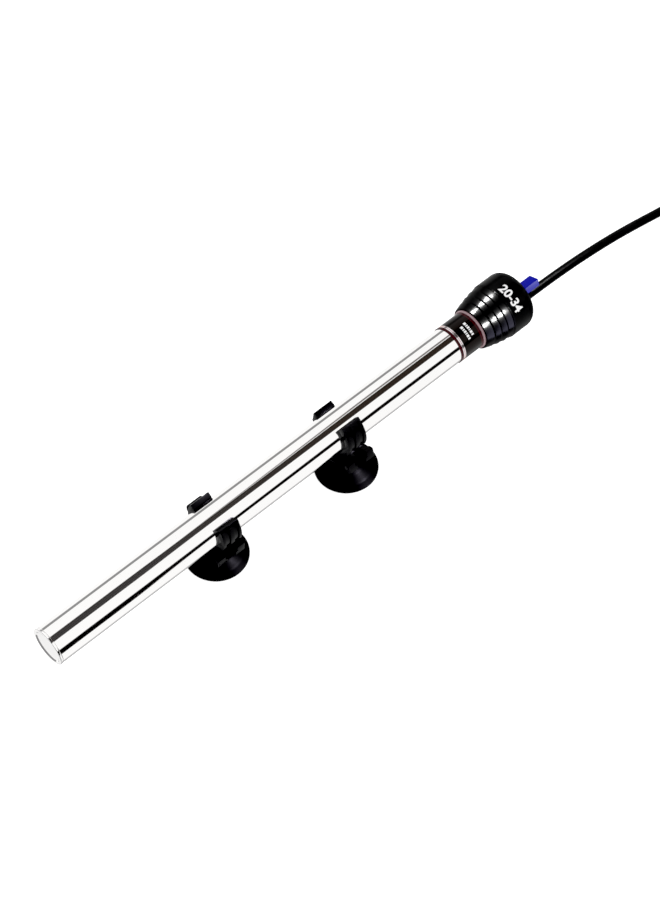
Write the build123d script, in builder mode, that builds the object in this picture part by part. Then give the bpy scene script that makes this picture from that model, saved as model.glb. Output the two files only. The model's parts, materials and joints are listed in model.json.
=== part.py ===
from build123d import *
import math
import os

# Submersible aquarium heater: a metal sheath with a heating coil and a bimetal thermostat inside,
# closed by a ribbed rubber head with a temperature knob and the mains cord, and held by two
# push-on clips with suction cups.
# Frame: +X runs along the sheath towards the cord, +Y to the back, +Z up. The origin is the centre
# of the lower suction cup's rim, on the surface that the cups stand on. Lengths are in millimetres.

# ---------------------------------------------------------------- driving dimensions
axis_height = 31.1          # sheath axis above the surface the cups stand on
fit_gap = 0.05              # radial gap between pieces that sit on one another

tube_radius = 11.0
tube_wall = 0.6
tube_start = -110.6
tube_end = 204.0
tube_inside = tube_radius - tube_wall

end_flange = 1.4            # rolled lip that closes the sheath
end_skirt_length = 5.6
end_skirt_wall = 0.8

label_start = 170.5
label_end = 187.0
label_wall = 0.3

cap_start = 188.3           # rim of the head, next to the label
rib_pitch = 4.2
rim_length = 4.7            # first rib, longer than the others
rib_radii = [(13.1, 14.6), (14.2, 15.7), (15.0, 16.5), (15.8, 17.0)]
rib_groove_depth = 0.6
rib_groove_width = 0.9
band_radius = 17.2
shoulder_start = 217.6
cap_end = 223.6
cap_face_radius = 12.6
cavity_radius = 12.3
cavity_end = 219.0

knob_y = -1.8               # dial shaft, measured from the sheath axis
knob_z = 4.0
knob_turn = 67              # grip's rest angle about the shaft, in degrees
knob_skirt_radius = 5.6
knob_skirt = 1.5
knob_recess = 1.8
grip_width = 7.0
grip_thickness = 4.6
grip_corner = 0.6
grip_edge = 0.5
knob_end = 236.4
shaft_radius = 1.5
thread_radius = 1.25
running_gap = 0.05

cord_y = -2.1               # cord, measured from the sheath axis
cord_z = -5.2
cord_radius = 2.6
cord_height = axis_height + cord_z
cord_start = 178.0          # end of the jacket inside the sheath
core_radius = 0.9
core_spread = 1.15          # half the distance between the two cores in the jacket

clip_width = 12.3
clip_wall = 4.0
clip_opening = 38.5         # angle of the arm tips above the horizontal, in degrees
web_thickness = 1.4
foot_size = 18.8
foot_thickness = 2.6
foot_depth = 19.0           # sheath axis to the middle of the foot plate
foot_front = 13.1           # sheath axis to the front edge of the foot plate
lug_width = 5.7
lug_depth = 3.6
lug_height = 2.7
slot_radius = 3.15
slot_mouth = 5.7

cup_spacing = 89.14
upper_turn = -17.27         # upper clip, turned about the sheath so that its front arm is raised
cup_radius = 17.83
neck_radius = 2.5
head_radius = 4.0

plug_pin_radius = 2.0
plug_pin_length = 19.0
plug_pin_spacing = 19.0
plug_height = 7.2           # plug axis above the surface

clip_bore = tube_radius + running_gap
clip_outer = clip_bore + clip_wall
floor_wall = 2.25           # wall under the sheath, above the cup's head
floor_sector = (-125, -54)
back_wall = 3.2
back_sector = (-55, 60)
lip_width = 2.4             # lip at each arm tip
lip_turn = 3.0              # lip's middle below the end of the arm, in degrees
lip_rise = 0.3
lip_corner = 0.35
edge_rib = 1.6
groove_width = 3.3
groove_depth = 0.9
groove_sectors = [(-214, -140, clip_wall), (-40, 34, back_wall)]
web_start_depth = 9.0       # sheath axis to the top of the webs
web_front = -5.5
web_back = 8.2
tab_width = 11.0
tab_reach = 2.6
tab_thickness = 2.2
label_radius = tube_radius + fit_gap + label_wall

os.makedirs("parts", exist_ok=True)


# ---------------------------------------------------------------- planes and shared helpers
def across(x, turn=0.0):
    """Plane square to the sheath at x: local x points to the back, local y up, both turned about X."""
    c, s = math.cos(math.radians(turn)), math.sin(math.radians(turn))
    return Plane(origin=(x, 0, axis_height), x_dir=(0, c, s), z_dir=(1, 0, 0))


def level(height):
    """Horizontal plane at a height above the sheath axis."""
    return Plane.XY.offset(axis_height + height)


# Plane through the sheath axis, with local x along the sheath and local y as the radius.
along = Plane(origin=(0, 0, axis_height), x_dir=(1, 0, 0), z_dir=(0, -1, 0))
sheath_axis = Axis((0, 0, axis_height), (1, 0, 0))


def ring_sketch(outer, inner, y=0.0, z=0.0):
    """Ring in the sketch that is open, centred at (y, z)."""
    with Locations((y, z)):
        Circle(outer)
        Circle(inner, mode=Mode.SUBTRACT)


def wire_along(points, radius, start, end):
    """Round wire through the points, given as (x, y, height above the sheath axis)."""
    lifted = [(x, y, axis_height + z) for x, y, z in points]
    with BuildPart() as wire:
        with BuildLine() as path:
            Spline(*lifted, tangents=[start, end])
        with BuildSketch(Plane(origin=path.line @ 0, z_dir=path.line % 0)):
            Circle(radius)
        sweep()
    return wire


# ---------------------------------------------------------------- sheath
with BuildPart() as sheath_tube:
    with BuildSketch(across(tube_start)):
        ring_sketch(tube_radius, tube_inside)
    extrude(amount=tube_end - tube_start)
sheath_tube.part.label = "sheath_tube"
export_step(sheath_tube.part, "parts/sheath_tube.step")

skirt_radius = tube_inside - fit_gap
with BuildPart() as sheath_end_cap:
    with BuildSketch(across(tube_start - end_flange)):
        Circle(tube_radius)
    extrude(amount=end_flange)
    fillet(sheath_end_cap.faces().sort_by(Axis.X)[0].edges(), 0.5)
    with BuildSketch(across(tube_start)):
        ring_sketch(skirt_radius, skirt_radius - end_skirt_wall)
    extrude(amount=end_skirt_length)
sheath_end_cap.part.label = "sheath_end_cap"
export_step(sheath_end_cap.part, "parts/sheath_end_cap.step")

with BuildPart() as label_sleeve:
    with BuildSketch(across(label_start)):
        ring_sketch(label_radius, tube_radius + fit_gap)
    extrude(amount=label_end - label_start)
label_sleeve.part.label = "label_sleeve"
export_step(label_sleeve.part, "parts/label_sleeve.step")

gasket_radius = 12.1
with BuildPart() as cap_gasket:
    with BuildSketch(across(label_end + fit_gap)):
        ring_sketch(gasket_radius, tube_radius + fit_gap)
    extrude(amount=cap_start - label_end - 2 * fit_gap)
    fillet(cap_gasket.faces().sort_by(Axis.X)[0].outer_wire().edges(), 0.4)
cap_gasket.part.label = "cap_gasket"
export_step(cap_gasket.part, "parts/cap_gasket.step")

# ---------------------------------------------------------------- head
cap_bore = tube_radius + fit_gap
recess_radius = knob_skirt_radius + 0.3
with BuildPart() as head_cap:
    with BuildSketch(along):
        with BuildLine():
            outline = [(cap_start, cap_bore)]
            rib_start = cap_start
            for index, (low, high) in enumerate(rib_radii):
                rib_end = cap_start + rim_length + index * rib_pitch
                if index == 0:
                    outline += [(rib_start, low), (rib_end, high)]
                else:
                    outline += [(rib_start, low - rib_groove_depth)]
                    outline += [(rib_start + rib_groove_width, low + 0.2)]
                    outline += [(rib_end, high)]
                rib_start = rib_end
            outline += [(rib_start, band_radius - rib_groove_depth)]
            outline += [(rib_start + rib_groove_depth, band_radius), (shoulder_start, band_radius)]
            Polyline(*outline)
            TangentArc((shoulder_start, band_radius), (cap_end, cap_face_radius), tangent=(1, 0))
            Polyline(
                (cap_end, cap_face_radius),
                (cap_end, 0),
                (cavity_end, 0),
                (cavity_end, cavity_radius),
                (tube_end, cavity_radius),
                (tube_end, cap_bore),
                (cap_start, cap_bore),
            )
        make_face()
    revolve(axis=sheath_axis)
    # recess for the knob's skirt, and the holes for the dial shaft and the cord
    with BuildSketch(across(cap_end)):
        with Locations((knob_y, knob_z)):
            Circle(recess_radius)
    extrude(amount=-knob_recess, mode=Mode.SUBTRACT)
    with BuildSketch(across(cavity_end)):
        with Locations((knob_y, knob_z)):
            Circle(shaft_radius + 0.1)
        with Locations((cord_y, cord_z)):
            Circle(cord_radius + fit_gap)
    extrude(amount=cap_end - cavity_end, mode=Mode.SUBTRACT)
head_cap.part.label = "head_cap"
export_step(head_cap.part, "parts/head_cap.step")

plug_start = 188.0
bushing_radius = 3.5
flange_thickness = 3.0
with BuildPart() as sealing_plug:
    with BuildSketch(across(plug_start)):
        Circle(tube_inside - fit_gap)
    extrude(amount=tube_end - plug_start + fit_gap)
    with BuildSketch(across(tube_end + fit_gap)):
        Circle(cavity_radius - fit_gap)
    extrude(amount=flange_thickness)
    with BuildSketch(across(plug_start)):
        with Locations((knob_y, knob_z)):
            Circle(bushing_radius + fit_gap)
        with Locations((cord_y, cord_z)):
            Circle(cord_radius + fit_gap)
    extrude(amount=tube_end - plug_start + 2 * flange_thickness, mode=Mode.SUBTRACT)
sealing_plug.part.label = "sealing_plug"
export_step(sealing_plug.part, "parts/sealing_plug.step")

bushing_start = 190.0
bushing_end = 210.0
o_ring_wire = 0.55
groove_x = 198.0
o_ring_groove = 1.5
groove_radius = shaft_radius + 2 * o_ring_wire + 0.1
with BuildPart() as shaft_bushing:
    with BuildSketch(across(bushing_start)):
        ring_sketch(bushing_radius, shaft_radius + running_gap, knob_y, knob_z)
    extrude(amount=bushing_end - bushing_start)
    with BuildSketch(across(groove_x)):
        with Locations((knob_y, knob_z)):
            Circle(groove_radius)
    extrude(amount=o_ring_groove, mode=Mode.SUBTRACT)
shaft_bushing.part.label = "shaft_bushing"
export_step(shaft_bushing.part, "parts/shaft_bushing.step")

o_ring_centre = across(groove_x + o_ring_groove / 2).from_local_coords((knob_y, knob_z, 0))
with BuildPart() as shaft_o_ring:
    with BuildSketch(Plane(origin=o_ring_centre, x_dir=(1, 0, 0), z_dir=(0, -1, 0))):
        with Locations((0, shaft_radius + 0.02 + o_ring_wire)):
            Circle(o_ring_wire)
    revolve(axis=Axis(o_ring_centre, (1, 0, 0)))
shaft_o_ring.part.label = "shaft_o_ring"
export_step(shaft_o_ring.part, "parts/shaft_o_ring.step")

clamp_start = 209.0
clamp_length = 7.0
clamp_radius = 4.3
clamp_slot = 2.0
with BuildPart() as cord_clamp:
    with BuildSketch(across(clamp_start)):
        ring_sketch(clamp_radius, cord_radius + fit_gap, cord_y, cord_z)
        with Locations((cord_y, cord_z - clamp_radius)):
            Rectangle(clamp_slot, clamp_radius - cord_radius + 0.7, mode=Mode.SUBTRACT)
    extrude(amount=clamp_length)
cord_clamp.part.label = "cord_clamp"
export_step(cord_clamp.part, "parts/cord_clamp.step")

# ---------------------------------------------------------------- dial
shaft_start = 134.0
thread_end = 150.0
knob_hole_depth = 5.0
skirt_base = cap_end - knob_recess + 0.3
shaft_end = skirt_base + knob_hole_depth
with BuildPart() as dial_shaft:
    with BuildSketch(across(shaft_start)):
        with Locations((knob_y, knob_z)):
            Circle(thread_radius)
    extrude(amount=thread_end - shaft_start)
    with BuildSketch(across(thread_end)):
        with Locations((knob_y, knob_z)):
            Circle(shaft_radius)
    extrude(amount=shaft_end - thread_end)
dial_shaft.part.label = "dial_shaft"
export_step(dial_shaft.part, "parts/dial_shaft.step")

retainer_radius = 3.1
retainer_thickness = 0.6
retainer_gap = 0.2
retainer_slot = 1.8
with BuildPart() as shaft_retainer:
    with BuildSketch(across(bushing_start - retainer_gap - retainer_thickness)):
        ring_sketch(retainer_radius, shaft_radius + 0.02, knob_y, knob_z)
        with Locations((knob_y, knob_z + retainer_radius)):
            Rectangle(retainer_slot, 2 * retainer_radius - 1, mode=Mode.SUBTRACT)
    extrude(amount=retainer_thickness)
shaft_retainer.part.label = "shaft_retainer"
export_step(shaft_retainer.part, "parts/shaft_retainer.step")

with BuildPart() as temperature_knob:
    with BuildSketch(across(skirt_base)):
        with Locations((knob_y, knob_z)):
            Circle(knob_skirt_radius)
    extrude(amount=knob_skirt)
    with BuildSketch(across(skirt_base + knob_skirt)):
        with Locations((knob_y, knob_z)):
            RectangleRounded(grip_thickness, grip_width, grip_corner, rotation=knob_turn)
    extrude(amount=knob_end - skirt_base - knob_skirt)
    fillet(temperature_knob.faces().sort_by(Axis.X)[-1].edges(), grip_edge)
    with BuildSketch(across(skirt_base)):
        with Locations((knob_y, knob_z)):
            Circle(shaft_radius + 0.02)
    extrude(amount=knob_hole_depth + 0.1, mode=Mode.SUBTRACT)
temperature_knob.part.label = "temperature_knob"
export_step(temperature_knob.part, "parts/temperature_knob.step")

# ---------------------------------------------------------------- thermostat
loose_fit_radius = tube_inside - 0.1
coil_radius = 7.7
lead_hole_radius = 1.3
collar_start = 62.0
collar_thickness = 5.0
frame_start = collar_start + collar_thickness
frame_end = 164.0
frame_back = 5.4
frame_front = -8.0
frame_top = -1.6
frame_bottom = -3.6
frame_middle = (frame_back + frame_front) / 2
frame_width = frame_back - frame_front
strip_y = knob_y
anchor_x = 80.0             # post that carries the bimetal strip
pivot_x = 130.0             # post that carries the contact arm
post_radius = 1.0
post_collar_radius = 1.9
post_tail = -7.2
anchor_height = 1.0
pivot_height = 3.0
nut_start = 138.0
nut_end = 145.0
ledge_length = 8.0
ledge_thickness = 2.0
screw_x = frame_start + 4.5
screw_spread = 3.5
screw_places = [(screw_x, frame_middle + screw_spread), (screw_x, frame_middle - screw_spread)]
screw_radius = 0.55
screw_head_radius = 1.3
screw_head_height = 0.9
screw_length = 3.6
neutral_y = 7.4             # neutral lead, beside the thermostat frame
neutral_z = -3.4

with BuildPart() as frame_collar:
    with BuildSketch(across(collar_start)):
        Circle(loose_fit_radius)
        with Locations((0, -coil_radius), (neutral_y, neutral_z)):
            Circle(lead_hole_radius, mode=Mode.SUBTRACT)
    extrude(amount=collar_thickness)
    # ledge that the thermostat frame is screwed to
    with BuildSketch(across(collar_start + collar_thickness)):
        with Locations((frame_middle, frame_bottom - fit_gap - ledge_thickness / 2)):
            Rectangle(frame_width - 4, ledge_thickness)
    extrude(amount=ledge_length)
    with BuildSketch(level(frame_bottom)):
        with Locations(*screw_places):
            Circle(screw_radius + 0.05)
    extrude(amount=-2 * ledge_thickness, mode=Mode.SUBTRACT)
frame_collar.part.label = "frame_collar"
export_step(frame_collar.part, "parts/frame_collar.step")

rail_x = (nut_start + nut_end) / 2
rail_offset = 3.6
rail_length = 14.0
rail_thickness = 1.0
rail_height = 4.2
cheek_start = frame_end - 6.0
cheek_width = 6.4
cheek_thickness = 3.0
cheek_top = knob_z + 3.0
with BuildPart() as thermostat_frame:
    with BuildSketch(level(frame_bottom)):
        with Locations(((frame_start + frame_end) / 2 + 0.1, frame_middle)):
            RectangleRounded(frame_end - frame_start - 0.2, frame_width, 1.0)
        with Locations(*screw_places):
            Circle(screw_radius + 0.2, mode=Mode.SUBTRACT)
        with Locations((anchor_x, strip_y), (pivot_x, strip_y)):
            Circle(post_radius + fit_gap, mode=Mode.SUBTRACT)
    extrude(amount=frame_top - frame_bottom)
    # two rails that guide the adjuster nut
    with BuildSketch(level(frame_top)):
        with Locations((rail_x, strip_y + rail_offset), (rail_x, strip_y - rail_offset)):
            Rectangle(rail_length, rail_thickness)
    extrude(amount=rail_height)
    # cheek that steadies the dial shaft
    with BuildSketch(across(cheek_start)):
        with Locations((knob_y, (cheek_top + frame_top) / 2)):
            Rectangle(cheek_width, cheek_top - frame_top)
        with Locations((knob_y, knob_z)):
            Circle(shaft_radius + running_gap, mode=Mode.SUBTRACT)
    extrude(amount=cheek_thickness)
thermostat_frame.part.label = "thermostat_frame"
export_step(thermostat_frame.part, "parts/thermostat_frame.step")

with BuildPart() as frame_screws:
    with BuildSketch(level(frame_top + 0.02)):
        with Locations(*screw_places):
            Circle(screw_head_radius)
    extrude(amount=screw_head_height)
    with BuildSketch(level(frame_top + 0.02)):
        with Locations(*screw_places):
            Circle(screw_radius)
    extrude(amount=-screw_length)
frame_screws.part.label = "frame_screws"
export_step(frame_screws.part, "parts/frame_screws.step")

with BuildPart() as terminal_posts:
    for post_x, top in ((anchor_x, anchor_height - 0.3), (pivot_x, pivot_height - 0.3)):
        with BuildSketch(level(post_tail)):
            with Locations((post_x, strip_y)):
                Circle(post_radius)
        extrude(amount=top - post_tail)
        with BuildSketch(level(frame_top + 0.02)):
            with Locations((post_x, strip_y)):
                Circle(post_collar_radius)
        extrude(amount=top - frame_top - 0.02)
terminal_posts.part.label = "terminal_posts"
export_step(terminal_posts.part, "parts/terminal_posts.step")

strip_width = 5.0
strip_thickness = 0.6
strip_tip = 121.0
contact_x = 118.5
contact_radius = 1.4
contact_thickness = 0.7
strip_overhang = 3.0        # strip's fixed end, beyond the middle of its post
with BuildPart() as bimetal_strip:
    with BuildSketch(level(anchor_height)):
        with Locations(((anchor_x - strip_overhang + strip_tip) / 2, strip_y)):
            RectangleRounded(strip_tip - anchor_x + strip_overhang, strip_width, 1.0)
    extrude(amount=strip_thickness)
bimetal_strip.part.label = "bimetal_strip"
export_step(bimetal_strip.part, "parts/bimetal_strip.step")

strip_top = anchor_height + strip_thickness
with BuildPart() as moving_contact:
    with BuildSketch(level(strip_top)):
        with Locations((contact_x, strip_y)):
            Circle(contact_radius)
    extrude(amount=contact_thickness)
    fillet(moving_contact.faces().sort_by(Axis.Z)[-1].edges(), 0.3)
moving_contact.part.label = "moving_contact"
export_step(moving_contact.part, "parts/moving_contact.step")

arm_thickness = 0.4
arm_width = 4.0
arm_tip = 115.5
arm_end = pivot_x + 2.0
with BuildPart() as contact_arm:
    with BuildSketch(level(pivot_height)):
        with Locations(((arm_tip + arm_end) / 2, strip_y)):
            RectangleRounded(arm_end - arm_tip, arm_width, 0.8)
    extrude(amount=arm_thickness)
contact_arm.part.label = "contact_arm"
export_step(contact_arm.part, "parts/contact_arm.step")

contact_gap = 0.5
moving_top = strip_top + contact_thickness
with BuildPart() as fixed_contact:
    with BuildSketch(level(moving_top + contact_gap)):
        with Locations((contact_x, strip_y)):
            Circle(contact_radius)
    extrude(amount=pivot_height - moving_top - contact_gap)
fixed_contact.part.label = "fixed_contact"
export_step(fixed_contact.part, "parts/fixed_contact.step")

finger_x = 122.0
finger_width = 3.0
finger_thickness = 1.6
finger_height = knob_z + thread_radius + 1.1
finger_tip_length = 2.0
finger_tip = pivot_height + arm_thickness + 0.3
nut_width = 6.0
nut_bottom = frame_top + 0.1
nut_top = knob_z + 3.0
with BuildPart() as adjuster_nut:
    with BuildSketch(across(nut_start)):
        with Locations((knob_y, (nut_bottom + nut_top) / 2)):
            Rectangle(nut_width, nut_top - nut_bottom)
    extrude(amount=nut_end - nut_start)
    # finger that reaches over the contact arm, past the end of the dial shaft
    with BuildSketch(across(finger_x)):
        with Locations((knob_y, finger_height)):
            Rectangle(finger_width, finger_thickness)
    extrude(amount=nut_start - finger_x)
    with BuildSketch(across(finger_x)):
        with Locations((knob_y, (finger_height + finger_tip) / 2)):
            Rectangle(finger_width, finger_height - finger_tip)
    extrude(amount=finger_tip_length)
    with BuildSketch(across(nut_start)):
        with Locations((knob_y, knob_z)):
            Circle(thread_radius + running_gap)
    extrude(amount=nut_end - nut_start, mode=Mode.SUBTRACT)
adjuster_nut.part.label = "adjuster_nut"
export_step(adjuster_nut.part, "parts/adjuster_nut.step")

magnet_x = 110.0
magnet_length = 5.0
magnet_width = 4.0
magnet_height = 1.6
with BuildPart() as snap_magnet:
    with BuildSketch(level(frame_top + 0.02)):
        with Locations((magnet_x, strip_y)):
            Rectangle(magnet_length, magnet_width)
    extrude(amount=magnet_height)
    chamfer(snap_magnet.edges().filter_by(Axis.Z), 0.4)
snap_magnet.part.label = "snap_magnet"
export_step(snap_magnet.part, "parts/snap_magnet.step")

capacitor_x = 98.0
capacitor_y = 3.2
capacitor_length = 11.0
capacitor_width = 3.6
capacitor_height = 5.5
with BuildPart() as suppression_capacitor:
    with BuildSketch(level(frame_top + 0.02)):
        with Locations((capacitor_x, capacitor_y)):
            RectangleRounded(capacitor_length, capacitor_width, 0.8)
    extrude(amount=capacitor_height)
    fillet(suppression_capacitor.faces().sort_by(Axis.Z)[-1].edges(), 0.5)
suppression_capacitor.part.label = "suppression_capacitor"
export_step(suppression_capacitor.part, "parts/suppression_capacitor.step")

# ---------------------------------------------------------------- heating element
former_start = -96.0
former_end = 50.0
flange_width = 3.0
core_bar_radius = 5.0
fin_height = 3.2
fin_thickness = 1.6
coil_hole_radius = 1.2
coil_wire = 0.7
coil_pitch = 7.0
coil_turns = 18.5
coil_start = -86.0
sleeve_wall = 0.4
sleeve_overhang = 2.0
with BuildPart() as ceramic_former:
    with BuildSketch(across(former_start)):
        Circle(core_bar_radius)
        with PolarLocations(0, 4, start_angle=45):
            with Locations((core_bar_radius, 0)):
                Rectangle(fin_height, fin_thickness)
    extrude(amount=former_end - former_start)
    for flange_x in (former_start, former_end - flange_width):
        with BuildSketch(across(flange_x)):
            Circle(tube_inside - sleeve_wall - 0.3)
        extrude(amount=flange_width)
    with BuildSketch(across(former_start)):
        Circle(lead_hole_radius)
    extrude(amount=former_end - former_start, mode=Mode.SUBTRACT)
    for hole_x, side in ((former_start, 1), (former_end - flange_width, -1)):
        with BuildSketch(across(hole_x)):
            with Locations((0, side * coil_radius)):
                Circle(coil_hole_radius)
        extrude(amount=flange_width, mode=Mode.SUBTRACT)
ceramic_former.part.label = "ceramic_former"
export_step(ceramic_former.part, "parts/ceramic_former.step")

with BuildPart() as heating_coil:
    with BuildLine() as coil_path:
        Helix(
            pitch=coil_pitch,
            height=coil_pitch * coil_turns,
            radius=coil_radius,
            center=(coil_start, 0, axis_height),
            direction=(1, 0, 0),
        )
    with BuildSketch(Plane(origin=coil_path.line @ 0, z_dir=coil_path.line % 0)):
        Circle(coil_wire)
    sweep(is_frenet=True)
heating_coil.part.label = "heating_coil"
export_step(heating_coil.part, "parts/heating_coil.step")

with BuildPart() as insulation_sleeve:
    with BuildSketch(across(former_start - sleeve_overhang)):
        ring_sketch(loose_fit_radius, loose_fit_radius - sleeve_wall)
    extrude(amount=former_end - former_start + 2 * sleeve_overhang)
insulation_sleeve.part.label = "insulation_sleeve"
export_step(insulation_sleeve.part, "parts/insulation_sleeve.step")

spacer_thickness = 2.0
end_spacer_start = -104.4
upper_spacer_start = 58.0
with BuildPart() as end_spacer:
    with BuildSketch(across(end_spacer_start)):
        Circle(loose_fit_radius)
    extrude(amount=spacer_thickness)
end_spacer.part.label = "end_spacer"
export_step(end_spacer.part, "parts/end_spacer.step")

with BuildPart() as upper_spacer:
    with BuildSketch(across(upper_spacer_start)):
        Circle(loose_fit_radius)
        with Locations((0, -coil_radius), (neutral_y, neutral_z)):
            Circle(lead_hole_radius, mode=Mode.SUBTRACT)
    extrude(amount=spacer_thickness)
upper_spacer.part.label = "upper_spacer"
export_step(upper_spacer.part, "parts/upper_spacer.step")

# ---------------------------------------------------------------- wiring inside the sheath
lead_radius = 0.6
hairpin_x = former_start - 1.0
hairpin_z = coil_radius / 2
lead_bend = 58.0            # the return lead turns from the frame's side to the former's bore
crimp_x = 69.0
crimp_length = 6.0
crimp_bore = core_radius + 0.03
crimp_radius = 1.3
join_x = crimp_x + crimp_length / 2
with BuildPart() as return_lead:
    with BuildLine() as return_path:
        Line(
            (join_x, neutral_y, axis_height + neutral_z),
            (lead_bend, neutral_y, axis_height + neutral_z),
        )
        Spline(
            (lead_bend, neutral_y, axis_height + neutral_z),
            (former_end - 0.2, 0, axis_height),
            tangents=[(-1, 0, 0), (-1, 0, 0)],
        )
        Line((former_end - 0.2, 0, axis_height), (hairpin_x, 0, axis_height))
        ThreePointArc(
            (hairpin_x, 0, axis_height),
            (hairpin_x - hairpin_z, 0, axis_height + hairpin_z),
            (hairpin_x, 0, axis_height + coil_radius),
        )
        Line((hairpin_x, 0, axis_height + coil_radius), (coil_start - 2, 0, axis_height + coil_radius))
    with BuildSketch(Plane(origin=return_path.line @ 0, z_dir=return_path.line % 0)):
        Circle(lead_radius)
    sweep()
return_lead.part.label = "return_lead"
export_step(return_lead.part, "parts/return_lead.step")

fuse_z = -6.4
fuse_start = 150.0
fuse_length = 10.0
fuse_radius = 1.6
fuse_wire = 0.4
coil_lead_start = 45.5
coil_lead_bend = 66.0
coil_lead_end = anchor_x - post_radius - 0.1
coil_lead = wire_along(
    [(coil_lead_start, 0, -coil_radius), (coil_lead_bend, 0, -coil_radius), (coil_lead_end, strip_y, fuse_z)],
    lead_radius,
    (1, 0, 0),
    (1, 0, 0),
)
coil_lead.part.label = "coil_lead"
export_step(coil_lead.part, "parts/coil_lead.step")

with BuildPart() as neutral_core:
    with BuildLine() as neutral_path:
        Spline(
            (cord_start - 0.1, cord_y + core_spread, cord_height),
            (frame_end, neutral_y, axis_height + neutral_z),
            tangents=[(-1, 0, 0), (-1, 0, 0)],
        )
        Line(
            (frame_end, neutral_y, axis_height + neutral_z),
            (join_x + 0.1, neutral_y, axis_height + neutral_z),
        )
    with BuildSketch(Plane(origin=neutral_path.line @ 0, z_dir=neutral_path.line % 0)):
        Circle(core_radius)
    sweep()
neutral_core.part.label = "neutral_core"
export_step(neutral_core.part, "parts/neutral_core.step")

live_end = fuse_start + fuse_length + 2.2
live_crimp_length = 2.0
live_core = wire_along(
    [(cord_start - 0.1, cord_y - core_spread, cord_z), (live_end, strip_y, fuse_z)],
    core_radius,
    (-1, 0, 0),
    (-1, 0, 0),
)
live_core.part.label = "live_core"
export_step(live_core.part, "parts/live_core.step")

with BuildPart() as thermal_fuse:
    with BuildSketch(across(fuse_start)):
        with Locations((strip_y, fuse_z)):
            Circle(fuse_radius)
    extrude(amount=fuse_length)
    fillet(thermal_fuse.edges().filter_by(GeomType.CIRCLE), 0.5)
    with BuildSketch(across(pivot_x + post_radius + 0.1)):
        with Locations((strip_y, fuse_z)):
            Circle(fuse_wire)
    extrude(amount=live_end - 0.2 - pivot_x - post_radius)
thermal_fuse.part.label = "thermal_fuse"
export_step(thermal_fuse.part, "parts/thermal_fuse.step")

with BuildPart() as crimp_sleeves:
    with BuildSketch(across(crimp_x)):
        ring_sketch(crimp_radius, crimp_bore, neutral_y, neutral_z)
    extrude(amount=crimp_length)
    with BuildSketch(across(live_end - 0.6)):
        ring_sketch(crimp_radius, crimp_bore + 0.05, strip_y, fuse_z)
    extrude(amount=live_crimp_length)
crimp_sleeves.part.label = "crimp_sleeves"
export_step(crimp_sleeves.part, "parts/crimp_sleeves.step")

# ---------------------------------------------------------------- power cord, tied in a flat hank
straight_end = cap_end + 8.8
hank_height = 3.8
cord_pitch = 5.6
hank_left = 362.0           # inner straight runs of the hank
hank_right = 389.8
hank_high = -10.0           # ends of the straight runs, in y
hank_low = -80.0
hank_turns = 2
cord_lift = 5.8             # the cord crosses above its own turns
hank_entry = -38.0          # the cord comes down onto the inner straight run at this y
cord_bends = [
    (271.0, -2.4, axis_height - 6.6),
    (308.0, -2.0, axis_height - 13.1),
    (348.0, -3.0, hank_height + cord_lift),
    (366.0, -6.5, hank_height + cord_lift - 0.6),
]
plug_back = 352.0
plug_face = 304.0
jacket_end = 326.0


def hank_arc(x_from, x_to, y, side):
    """Half turn at one end of the hank; side is +1 at the back and -1 at the front."""
    middle = (x_from + x_to) / 2
    reach = abs(x_to - x_from) / 2
    ThreePointArc((x_from, y, hank_height), (middle, y + side * reach, hank_height), (x_to, y, hank_height))


with BuildPart() as power_cord:
    with BuildLine() as cord_path:
        Line((cord_start, cord_y, cord_height), (straight_end, cord_y, cord_height))
        Spline(
            (straight_end, cord_y, cord_height),
            *cord_bends,
            (hank_right, hank_entry, hank_height),
            tangents=[(1, 0, 0), (0, -1, 0)],
        )
        Line((hank_right, hank_entry, hank_height), (hank_right, hank_low, hank_height))
        left, right = hank_left, hank_right
        for turn in range(hank_turns):
            hank_arc(right, left, hank_low, -1)
            Line((left, hank_low, hank_height), (left, hank_high, hank_height))
            right += cord_pitch
            hank_arc(left, right, hank_high, 1)
            Line((right, hank_high, hank_height), (right, hank_low, hank_height))
            left -= cord_pitch
        last_radius = (right - left) / 2
        last_middle = (right + left) / 2
        plug_y = hank_low - last_radius
        slant = last_radius / math.sqrt(2)
        ThreePointArc(
            (right, hank_low, hank_height),
            (last_middle + slant, hank_low - slant, hank_height),
            (last_middle, plug_y, hank_height),
        )
        Spline(
            (last_middle, plug_y, hank_height),
            (plug_back, plug_y, plug_height),
            tangents=[(-1, 0, 0), (-1, 0, 0)],
        )
        Line((plug_back, plug_y, plug_height), (jacket_end, plug_y, plug_height))
    with BuildSketch(Plane(origin=cord_path.line @ 0, z_dir=cord_path.line % 0)):
        Circle(cord_radius)
    sweep()
power_cord.part.label = "power_cord"
export_step(power_cord.part, "parts/power_cord.step")

tie_wall = 0.9
tie_width = 5.0
tie_y = (hank_high + hank_low) / 2
tie_room = 2 * cord_radius + 0.2
with BuildPart() as cord_ties:
    for tie_left, tie_right in (
        (hank_left - cord_pitch, hank_left),
        (hank_right, hank_right + hank_turns * cord_pitch),
    ):
        tie_origin = ((tie_left + tie_right) / 2, tie_y + tie_width / 2, hank_height)
        span = tie_right - tie_left + tie_room
        with BuildSketch(Plane(origin=tie_origin, x_dir=(1, 0, 0), z_dir=(0, -1, 0))):
            RectangleRounded(span + 2 * tie_wall, tie_room + 2 * tie_wall, tie_room / 2 + tie_wall - 0.05)
            RectangleRounded(span, tie_room, tie_room / 2 - 0.05, mode=Mode.SUBTRACT)
        extrude(amount=tie_width)
cord_ties.part.label = "cord_ties"
export_step(cord_ties.part, "parts/cord_ties.step")

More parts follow.
